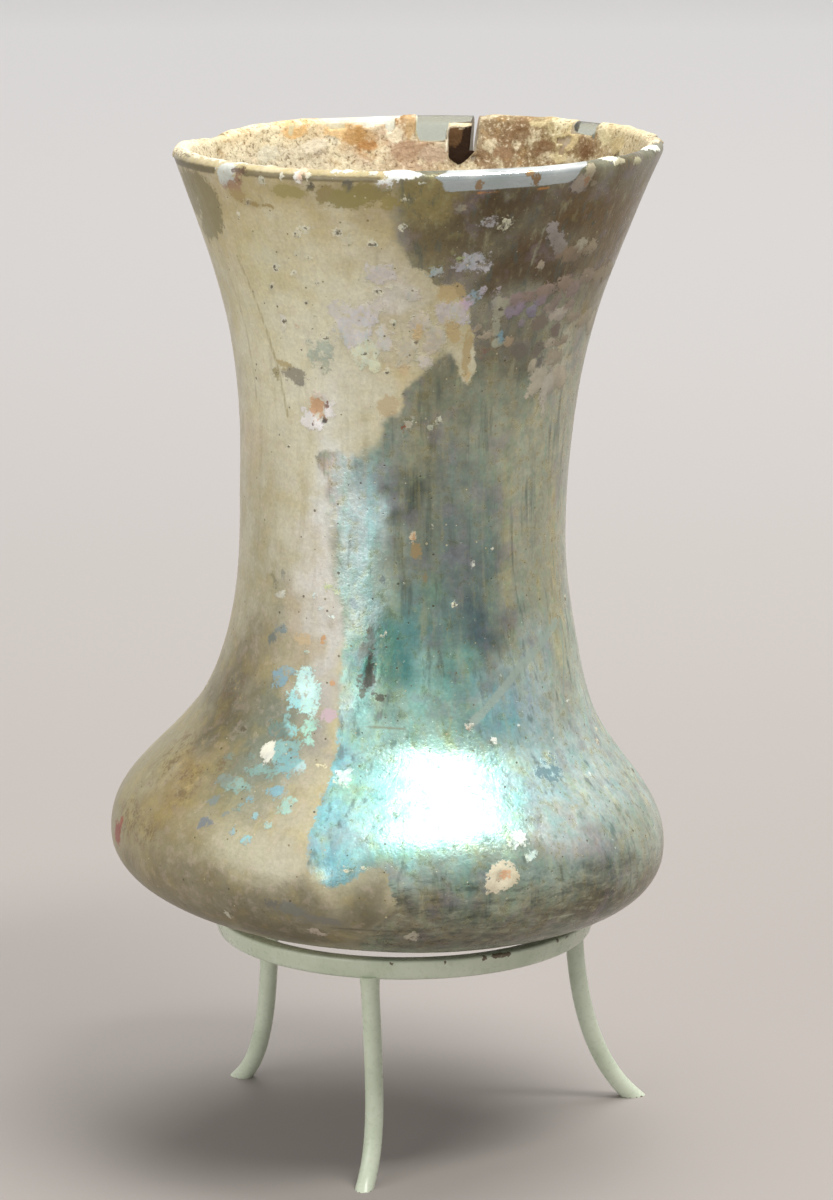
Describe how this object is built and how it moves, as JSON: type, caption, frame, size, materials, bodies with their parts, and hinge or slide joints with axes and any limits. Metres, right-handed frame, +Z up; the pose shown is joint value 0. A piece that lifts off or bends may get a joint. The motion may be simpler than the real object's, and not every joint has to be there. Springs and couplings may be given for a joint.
{
  "type": "glass bell beaker",
  "caption": "Waisted, free-blown glass bell beaker with a flared worn rim and a low bulging belly, leaning in a painted metal ring on out-curved rod legs.",
  "frame": {"origin": "on the surface the feet stand on, under the middle of the object's outline seen from above, which is the middle of the beaker's belly", "axes": "+Z up; -Y towards the side the picture shows, +X to its right; the beaker's axis leans 2.6 degrees towards +X and 3 degrees towards +Y"},
  "size_m": [0.0911, 0.091, 0.1676],
  "materials": {
    "weathered_glass": "olive yellow free-blown glass, weathered to a cloudy, iridescent skin with crust and flaked patches",
    "stand_paint": "pale green satin paint, brushed on, chipped at the edges and feet"
  },
  "bodies": {
    "root": {"beaker": "weathered_glass", "stand_ring": "stand_paint", "stand_leg_front": "stand_paint", "stand_leg_right": "stand_paint", "stand_leg_back_left": "stand_paint"}
  },
  "joints": []
}
